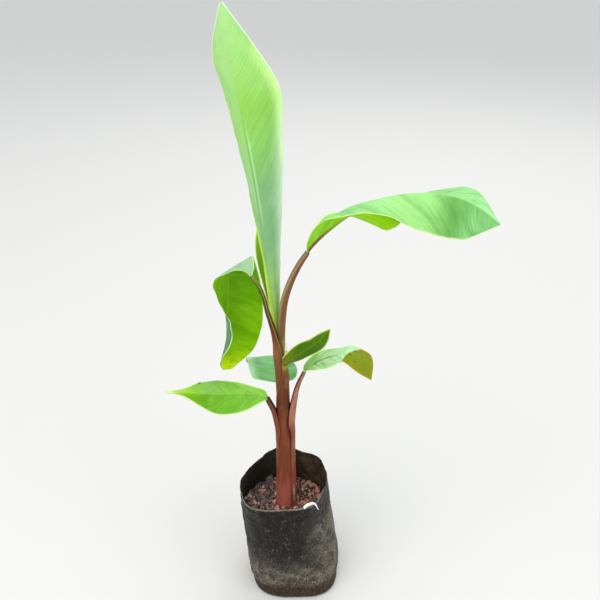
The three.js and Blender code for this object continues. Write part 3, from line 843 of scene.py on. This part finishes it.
def bag_paint():
    """Black film, dusty to the right and low down, with pale lines along fine creases as painted highlights,
    a dark foot of mud and painted shade, and a pale line along the front of its lip
    """
    p = Paint("black_film", 0.2)
    place = p.place()
    x, y, z = p.split(place)
    cloud = p.noise(place, BAG_CLOUD, 5.0, 0.6)
    dust = p.noise(place, BAG_DUST, 6.0, 0.7)
    grit = p.noise(place, BAG_GRIT, 3.0, 0.6)
    colour = p.mix(p.map(dust, 0.38, 0.72, 0.0, 0.8), "070706", "242220")
    to_right = p.times(p.map(x, 0.0, 0.045), p.map(z, 0.13, 0.1, 0.25, 1.0))
    lower = p.map(z, 0.085, 0.025)
    dusty = p.math("MAXIMUM", p.times(to_right, 0.66), p.times(lower, 0.72))
    dusty = p.times(dusty, p.map(cloud, 0.30, 0.62, 0.55, 1.0))
    colour = p.mix(dusty, colour, p.mix(p.map(dust, 0.4, 0.65), "4a443d", "857b6e"))
    grainy = p.times(p.math("MAXIMUM", dusty, 0.1), 0.9)
    colour = p.mix(p.times(p.map(grit, 0.54, 0.66), grainy), colour, "a89a86")
    colour = p.mix(p.times(p.map(grit, 0.46, 0.34), grainy), colour, "14110e")
    wander = p.noise(place, BAG_WANDER, 4.0, 0.6)
    off_crease = p.math("ABSOLUTE", p.less(wander, 0.5))
    # pale lines along the fine creases paint the highlights the crumpled film catches
    crease = p.times(p.map(off_crease, 0.012, 0.002), p.map(dust, 0.42, 0.6, 0.0, 0.5))
    colour = p.mix(crease, colour, "77736b")
    # a dark brown foot: mud, darkened further as painted shade where the bag meets the ground
    wavy_height = p.plus(z, p.times(p.less(cloud, 0.5), 0.03))
    mud_and_shade = p.mix(p.map(grit, 0.35, 0.7), "1b130c", "463423")
    colour = p.tint(colour, mud_and_shade, wavy_height, 0.032, 0.014, 0.9)
    lip = p.times(p.map(p.fact("lip"), 2.6, 0.4), p.map(y, -0.01, -0.04), p.map(dust, 0.3, 0.55, 0.4, 1.0))
    colour = p.mix(lip, colour, "7c7466")
    inner_tone = p.mix(p.times(p.map(x, 0.0, 0.012), p.map(dust, 0.35, 0.6)), "2e2c24", "5c4a3a")
    colour = p.tint(colour, inner_tone, p.fact("inside"), 0.4, 0.6)
    ridge = p.map(off_crease, 0.03, 0.0, 0.0, 0.35)
    relief = p.plus(p.plus(dust, ridge), p.times(grit, 0.4))
    return p.finish(colour, p.map(dust, 0.35, 0.7, 0.42, 0.7), relief, 0.001)


# Soil

SOIL_GAP = 2.4
SOIL_MIDDLE = (-13.0, -3.4)
SOIL_TURNS = 200
SOIL_STEPS = 60
# how far inward the soil's rings go, and how far its skirt hangs down
SOIL_INWARD = 0.985
SOIL_SKIRT = 9
# the soil's lumps: height and how much finer than the first, its size, and how far all sinks
SOIL_LUMPS = ((2.4, 1.0), (1.6, 2.7), (0.9, 6.5))
SOIL_LUMP_SIZE = 17
SOIL_SLICE = 0.3
SOIL_SINK = 1.6


def soil_reach():
    """How far the soil goes from its middle, at even turns, just short of the bag's wall"""
    wall = bag_ring(SOIL_LEVEL, SOIL_TURNS)
    out = wall[:, :2] - np.array(SOIL_MIDDLE)
    turn = np.unwrap(np.arctan2(out[:, 1], out[:, 0]))
    reach = np.hypot(out[:, 0], out[:, 1]) - SOIL_GAP
    return np.interp(even_turns(SOIL_TURNS), turn, reach, period=2 * np.pi)


def soil_height(x, y):
    place = Vector((x / SOIL_LUMP_SIZE, y / SOIL_LUMP_SIZE, SOIL_SLICE))
    return SOIL_LEVEL - SOIL_SINK + sum(height * noise.noise(place * finer) for height, finer in SOIL_LUMPS)


def soil(paint):
    reach = soil_reach()
    turns = even_turns(SOIL_TURNS)
    rings = []
    for r in range(SOIL_STEPS + 1):
        radius = reach * (1 - r / SOIL_STEPS * SOIL_INWARD)
        ring = oval(*SOIL_MIDDLE, radius, radius, 0, turns)
        ring[:, 2] = [soil_height(x, y) for x, y, z in ring]
        rings.append(ring)
    skirt = rings[0].copy()
    skirt[:, 2] = SOIL_LEVEL - SOIL_SKIRT
    points, faces = tube([skirt] + rings)
    add_piece("potting_soil_bed", points, faces, [paint], ("potting_soil",))


LUMP_SIDES = 7
LUMP_ROWS = 5
# a lump's roughness and the most of it, the spread of its size, and how far it stands clear
LUMP_ROUGH = 0.22
ROUGHEST = 0.4
LUMP_SPREAD = (0.6, 0.8)
LUMP_CLEAR = 0.25
# lumps lie over these shares of the soil's area, and are larger left of a line
STREWN = (0.02, 0.99)
LARGE_LEFT_OF = -22
LARGE, SMALL = 1.4, 0.85
# parts of dark, red, tan and pale lumps at the left, and what is added by the right
PARTS_AT_LEFT = np.array([3.0, 0.5, 0.3, 0.08])
PARTS_ADDED = np.array([-2.4, 1.9, 1.2, 0.25])
PARTS_SPAN = (-40, 20)


def lump_mesh():
    """A coarse ball with a radius of 1"""
    rings = []
    for r in range(1, LUMP_ROWS):
        lift = math.pi * r / LUMP_ROWS - math.pi / 2
        rings.append(oval(0, 0, math.cos(lift), math.cos(lift), math.sin(lift), even_turns(LUMP_SIDES)))
    points, faces = tube(rings)
    points[-2:] = (0, 0, -1), (0, 0, 1)
    return points, faces


def turned(rng):
    """A random turn in space"""
    return np.array(Quaternion(rng.normal(size=4)).normalized().to_matrix())


def crumbs(name, paints, count, size, squash, seed):
    """Loose lumps strewn on the soil, joined in one piece"""
    rng = np.random.default_rng(seed)
    base, base_faces = lump_mesh()
    reach = soil_reach()
    points, faces, picks = [], [], []
    for _ in range(count):
        a = rng.uniform(0, 2 * np.pi)
        wall = reach[int(a / (2 * np.pi) * SOIL_TURNS) % SOIL_TURNS]
        radius = (wall - size[0]) * math.sqrt(rng.uniform(*STREWN))
        x = SOIL_MIDDLE[0] + radius * math.cos(a)
        y = SOIL_MIDDLE[1] + radius * math.sin(a)
        big = rng.uniform(*size) * (LUMP_SPREAD[0] + LUMP_SPREAD[1] * rng.random() ** 3)
        big *= LARGE if x < LARGE_LEFT_OF else SMALL
        scale = np.array([1, rng.uniform(*squash), rng.uniform(*squash)]) * big
        rough = 1 + np.clip(LUMP_ROUGH * rng.normal(size=(len(base), 1)), -ROUGHEST, ROUGHEST)
        shape = (base * rough * scale) @ turned(rng).T
        start = len(points) * len(base)
        points.append(shape + np.array([x, y, soil_height(x, y) + LUMP_CLEAR * big]))
        faces += [tuple(start + i for i in face) for face in base_faces]
        parts = PARTS_AT_LEFT + PARTS_ADDED * ease(x, *PARTS_SPAN)
        pick = int(rng.choice(len(paints), p=parts / parts.sum()))
        picks += [pick] * len(base_faces)
    add_piece(name, np.vstack(points), faces, paints, picks=picks)


def earth_paint(name, dark, light):
    p = Paint(name, 0.25)
    grit = p.noise(p.place(), 420.0, 5.0, 0.65)
    colour = p.mix(p.map(grit, 0.35, 0.68), dark, light)
    return p.finish(colour, p.map(grit, 0.3, 0.7, 0.77, 0.92), grit, 0.002)


# Rods: the white root over the bag's rim, and the dry strips on the stem

ROD_SIDES = 12
ROD_STEPS = 40


def rod(name, line, radii, paint, face=(0.1, 0.2, 1.0), flat=1.0):
    """A round rod along a line, or a flat strip whose broad side looks the way of face"""
    u = np.linspace(0, 1, ROD_STEPS + 1)
    place = smooth(line, u)
    radius = smooth(radii, u)
    ahead = unit(np.gradient(place, axis=0))
    up = carry(face, ahead)
    right = np.cross(ahead, up)
    turn = even_turns(ROD_SIDES)
    rings = []
    for i in range(len(u)):
        out = np.outer(flat * np.cos(turn), up[i]) + np.outer(np.sin(turn), right[i])
        rings.append(place[i] + radius[i] * out)
    points, faces = tube(rings)
    add_piece(name, points, faces, [paint])


def plain_paint(name, dark, light, scale, roughness):
    p = Paint(name)
    grain = p.noise(p.place(), scale, 3.0)
    return p.finish(p.mix(p.map(grain, 0.35, 0.65), dark, light), roughness, grain, 0.0004)


# Floor and light

FLOOR_HALF = 12.0
FLOOR_TONE = "d8d6d2"
FLOOR_ROUGHNESS = 0.8
SKY_COLOUR = (0.92, 0.96, 1.0, 1)
SKY_STRENGTH = 0.95
LIGHTS_AIM = Vector((0, 0, 0.3))
# each light's name, place, width, power and colour
LIGHTS = (
    ("key", (-1.0, -1.1, 2.1), 1.8, 26, (1.0, 0.98, 0.95)),
    ("fill", (1.6, -1.3, 1.2), 1.8, 14, (0.95, 0.98, 1.0)),
    ("back", (0.6, 1.8, 2.0), 1.6, 16, (1.0, 1.0, 0.97)),
)


def floor_and_light():
    mesh = bpy.data.meshes.new("floor")
    corners = [(-1, -1), (1, -1), (1, 1), (-1, 1)]
    mesh.from_pydata([(x * FLOOR_HALF, y * FLOOR_HALF, 0) for x, y in corners], [], [(0, 1, 2, 3)])
    p = Paint("pale_floor", 0.3)
    p.set("Base Color", FLOOR_TONE)
    p.set("Roughness", FLOOR_ROUGHNESS)
    mesh.materials.append(p.material)
    floor = add_object("floor", mesh)

    world = bpy.data.worlds.new("soft_daylight")
    world.use_nodes = True
    background = world.node_tree.nodes["Background"]
    background.inputs["Color"].default_value = SKY_COLOUR
    background.inputs["Strength"].default_value = SKY_STRENGTH
    bpy.context.scene.world = world

    for name, place, size, power, colour in LIGHTS:
        data = bpy.data.lights.new(name, "AREA")
        data.size = size
        data.energy = power
        data.color = colour
        light = add_object(name, data)
        light.location = place
        light.rotation_euler = (LIGHTS_AIM - Vector(place)).to_track_quat("-Z", "Y").to_euler()
    bpy.context.scene.view_settings.view_transform = "Standard"


# The plant, piece by piece

make_camera()
floor_and_light()

leaf(
    "blade_low_left", "low_left", 11,
    upper=dict(
        tones="0 86c448, 0.35 80bc44, 0.6 78b048, 0.78 8cc424, 0.88 a4cc50, 0.95 dce0a8, 1 e8e4c0",
        left="0 84c244, 0.35 6cac2c, 0.6 629e18, 0.78 74b400, 0.88 98c83c, 0.95 dce0a8, 1 e8e4c0",
        margin="dcf098", dark="4a8a1c", light="b8e468", lines=0.24, mottle=0.2, shine=0.12, sheen=0,
        patches=[(0.66, 0.93, 0.022, "5a3a20")]),
    under=dict(tones="0 6aa838, 1 7ab030", dark="4a8a20"))
leaf(
    "blade_right_bent", "bent", 12,
    upper=dict(
        tones="0 88b458, 0.2 93c86e, 0.4 acd69a, 0.6 b2dea4, 1 8ab020",
        margin="ecf8c0", dark="5a9a40", light="ecf8dc", bands=0.26, lines=0.4,
        # the dark midrib tone from 0.12 to 0.5 paints the shadow in the trough along the midrib
        rib="5c6414", rib_share=0.65, rib_span=(0.12, 0.5), tip=(0.61, -0.09, "708c00", "a87000"),
        patches=[(0.635, 0.12, 0.016, "3c2c08"), (0.66, -0.45, 0.02, "4a3c08"),
                 (0.72, 0.35, 0.018, "5c4c0a"), (0.80, -0.1, 0.012, "5c4c0a")]),
    under=dict(
        tones="0 7ab040, 0.5 749400, 0.75 628000, 1 587400",
        margin="b08810", dark="4a6000", light="98b810", lines=0.25, sheen=0,
        patches=[(0.72, -0.55, 0.03, "4a3408"), (0.655, 0.1, 0.02, "3c2c08"),
                 (0.665, -0.3, 0.012, "3c2c08")]))
leaf(
    "blade_back", "back", 13,
    upper=dict(
        tones="0 5c9450, 0.5 5c9854, 1 548c48", left="0 70a862, 0.5 7cb87a, 1 88c488",
        margin="dcf4d8", dark="2f7038", light="a8dcb0", bands=0.25, lines=0.2,
        edge_highlights=[("b4dcb4", 12.0, 1.2, -1)]),
    under=dict(tones="0 6aa040, 1 70a830", dark="4a8020"))
leaf(
    "blade_small_front", "small", 14,
    upper=dict(tones="0 90c850, 1 70b840", margin="d8e080"),
    under=dict(
        tones="0 706814, 0.08 666c0c, 0.2 587600, 0.4 427000, 1 4c7c00", margin="c8d860", rib="5c8000",
        dark="2c5000", light="649a08", bands=0.25, lines=0.12, mottle=0.15, shine=0.12, sheen=0))
leaf(
    "blade_left_hanging", "hanging", 15,
    upper=dict(
        tones="0 a5c498, 0.25 8cb884, 0.5 5c8c58, 0.8 4c7c44, 1 7cb040",
        margin="e4f8c8", dark="4c8c54", light="a8d8a4", bands=0.15),
    # the under side's bright saturated yellow-green partly paints light shining through the blade
    under=dict(
        tones="0 74b800, 0.3 66a400, 0.6 74b000, 0.85 8cc800, 1 e0ff00",
        left="0 84c400, 0.3 76b200, 0.6 7ab400, 0.85 98d400, 1 e8ff00",
        margin="b8e060", rib="94c040", rib_share=0.5, dark="3c7c00", light="a0d818", bands=0.3,
        lines=0.2, shine=0.08, sheen=0))
leaf(
    "blade_right_arching", "arching", 16,
    upper=dict(
        # the darker tones from 0.76 to 0.86 paint shade on the near half, and the pale end of the left tones
        # paints the sheen on the far half seen at a grazing angle
        tones="0 9fd66b, 0.12 7cd048, 0.3 94d684, 0.5 9cd87c, 0.64 98d87a, 0.76 66a84c, 0.86 72b664, "
              "1 78b86c",
        left="0 a4d880, 0.3 98d480, 0.55 96d884, 0.7 84c870, 0.85 94d886, 1 b4e8a4",
        margin="dcf490", rib="a4cc70", rib_share=0.4, rib_foot="7a5a30", rib_until=0.2,
        dark="2f7c20", light="a4e08c", bands=0.24, lines=0.24),
    # the under side's bright yellow-green, most of all at 0.35, partly paints light shining through the blade
    under=dict(
        tones="0 88b820, 0.1 8cd038, 0.2 98d820, 0.35 acec04, 1 80c020",
        margin="0 b8e880, 0.2 c8f080, 0.3 d8f880, 1 d8f880", rib="8a6840", rib_foot="7a5a30",
        rib_until=0.25, dark="5a9800", light="a8e040", shine=0.1, sheen=0))
leaf(
    "blade_new_leaf", "new", 17, slot="new_leaf", also=("rolled_foot_new_leaf",),
    upper=dict(
        tones="0 9cc830, 0.2 94c81c, 0.4 9cd034, 0.7 a0d850, 1 9ad858",
        margin="dcf4a0", dark="6aa010", light="bce478", bands=0.14, lines=0.12, shine=0.1, sheen=0),
    under=dict(
        tones="0 a8d044, 0.16 94bc60, 0.3 80ae68, 0.48 94cc80, 0.66 98d464, 0.85 a4da7c, 1 acde8c",
        left="0 a8d044, 0.16 92bc64, 0.3 7aac74, 0.48 7cac72, 0.62 86c25c, 0.72 8cc850, 0.85 9cd46e, "
             "1 a8da8a",
        margin="0 dcff60, 0.38 d4ff70, 0.5 e4f8d8, 1 f0fce4",
        rib="5ca044", rib_share=0.4, rib_span=(0.3, 0.72), beside="d0f4b8",
        edge_highlights=[("c8f848", 8.0, 0.42, 1), ("d8ffa4", 17.0, 0.94, -1)],
        bend_sheen=("e8fce0", 0.6, 0.84), dark="4a8c4c", light="c0e8ac", bands=0.08, lines=0.10,
        sheen=0.12, relief=0.0004))

stalk("petiole_low_left", "blade_low_left", edge="5c3418",
      tones="0 a4564a, 0.1 9c5044, 0.2 8a4428, 0.4 7d4020, 0.62 783c22, 0.85 784630, 1 5c3c20")
# its dark red margin paints the shadow in the seam beside the next sheath
stalk("petiole_right", "blade_right_bent", edge="5c2018", edge_width=1.3, streak_light="c49c88",
      tones="0 a05a50, 0.1 98524a, 0.2 84402a, 0.43 7c4024, 0.6 a06c58, 1 9c6a58")
stalk("petiole_back", "blade_back", tones="0 a4564a, 0.14 7e3c20, 0.6 70381c, 1 6a8a50")
stalk("petiole_small_front", "blade_small_front", edge="582a14",
      tones="0 c4705c, 0.08 b86050, 0.14 7c3e22, 0.22 6c351a, 0.33 76381c, 0.45 743616, "
            "0.6 602a10, 0.75 683414, 0.9 6c3c18, 0.95 6a5014, 0.98 8c7c20, 1 908420")
stalk("petiole_left_hanging", "blade_left_hanging", edge="a89c50", edge_width=0.8,
      streak_dark="3a1c04", streak_light="907830",
      tones="0 78401f, 0.2 7c4822, 0.33 84552f, 0.45 743c14, 0.55 5c3008, 0.68 443800, "
            "0.85 4c5804, 1 607808")
stalk("petiole_right_arching", "blade_right_arching", edge_width=4.6,
      streak_dark="54280f", streak_light="a88c68",
      edge="0 949858, 0.55 90945a, 0.72 9c8464, 1 94745c",
      tones="0 989850, 0.18 989858, 0.3 7c5c34, 0.46 784c30, 0.8 704a2e, 1 6c4828")
pseudostem(stem_paint())

rod("dry_strip", [(-11, -8.2, 334), (-10.6, -7.4, 345), (-11.2, -4, 355)], [0.6, 1.5, 0.6],
    plain_paint("dry_strip_pale", "c8b8a0", "f0e8dc", 300.0, 0.7), (0.2, -1, 0.2), 0.2)
rod("dry_sheath_edge", [(-3, -10, 150), (-2, -10.6, 138), (-1.4, -11.6, 124)], [0.5, 1.6, 1.0],
    plain_paint("dry_sheath_tan", "84604a", "b08c70", 300.0, 0.7), (0.4, -1, 0), 0.25)

nursery_bag(bag_paint())
# the bed's dark tones show between the clods and partly paint the shade in the gaps
soil(earth_paint("soil_bed", "32241f", "5e483c"))
clods = [
    earth_paint("soil_dark", "4c4040", "988684"),
    earth_paint("soil_red", "bc6858", "fcbcac"),
    earth_paint("soil_tan", "bc8c68", "f4d0b4"),
    earth_paint("soil_pale", "e0d4c8", "fcf4ec"),
]
crumbs("soil_clods", clods, count=620, size=(1.5, 4.0), squash=(0.5, 0.9), seed=5)
crumbs("soil_crumbs", clods, count=2400, size=(0.5, 1.4), squash=(0.45, 0.9), seed=6)
rod("white_root",
    [(9.5, -51, 146.5), (13, -50.5, 151), (18, -49, 152.8), (23.5, -46.5, 150.5), (28.5, -42.5, 137.5)],
    [1.4, 1.8, 1.7, 1.1, 0.4], plain_paint("root_white", "e8e0d0", "ffffff", 200.0, 0.3))
